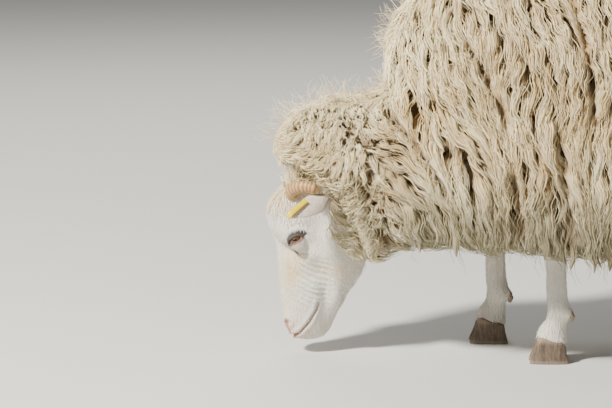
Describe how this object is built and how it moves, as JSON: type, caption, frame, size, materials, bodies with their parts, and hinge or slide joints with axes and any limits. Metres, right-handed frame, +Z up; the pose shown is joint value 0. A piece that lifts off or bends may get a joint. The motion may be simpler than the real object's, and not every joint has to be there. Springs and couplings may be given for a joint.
{
  "type": "sheep",
  "caption": "Small horned ewe in long shaggy fleece, standing with its head lowered to graze; a loop tag in its left ear.",
  "frame": {"origin": "middle of the footprint of the whole animal's box, on the floor under the hooves", "axes": "+X to the animal's left, -Y the way it faces, +Z up"},
  "size_m": [0.4142, 0.9618, 0.6209],
  "materials": {
    "fleece": "long cream wool in wavy locks, browner towards the roots and the hem",
    "face_hair": "short flat white hair with pale beige patches",
    "ear_skin": "thin pinkish skin under short white hair",
    "horn": "brown horn with close growth rings",
    "hoof": "dull dark horn",
    "eye": "wet amber-brown iris with a level slot pupil",
    "ear_tag": "bright yellow strap, slightly soiled"
  },
  "bodies": {
    "root": {"trunk": "fleece", "neck": "fleece", "tail": "fleece", "head": "face_hair", "left_ear": "ear_skin", "right_ear": "ear_skin", "left_ear_tag": "ear_tag", "left_horn": "horn", "right_horn": "horn", "left_eye": "eye", "right_eye": "eye", "left_fore_leg": "face_hair", "left_fore_claw_inner": "hoof", "left_fore_claw_outer": "hoof", "left_fore_dewclaw_inner": "hoof", "left_fore_dewclaw_outer": "hoof", "right_fore_leg": "face_hair", "right_fore_claw_inner": "hoof", "right_fore_claw_outer": "hoof", "right_fore_dewclaw_inner": "hoof", "right_fore_dewclaw_outer": "hoof", "left_hind_leg": "face_hair", "left_hind_claw_inner": "hoof", "left_hind_claw_outer": "hoof", "left_hind_dewclaw_inner": "hoof", "left_hind_dewclaw_outer": "hoof", "right_hind_leg": "face_hair", "right_hind_claw_inner": "hoof", "right_hind_claw_outer": "hoof", "right_hind_dewclaw_inner": "hoof", "right_hind_dewclaw_outer": "hoof"}
  },
  "joints": []
}
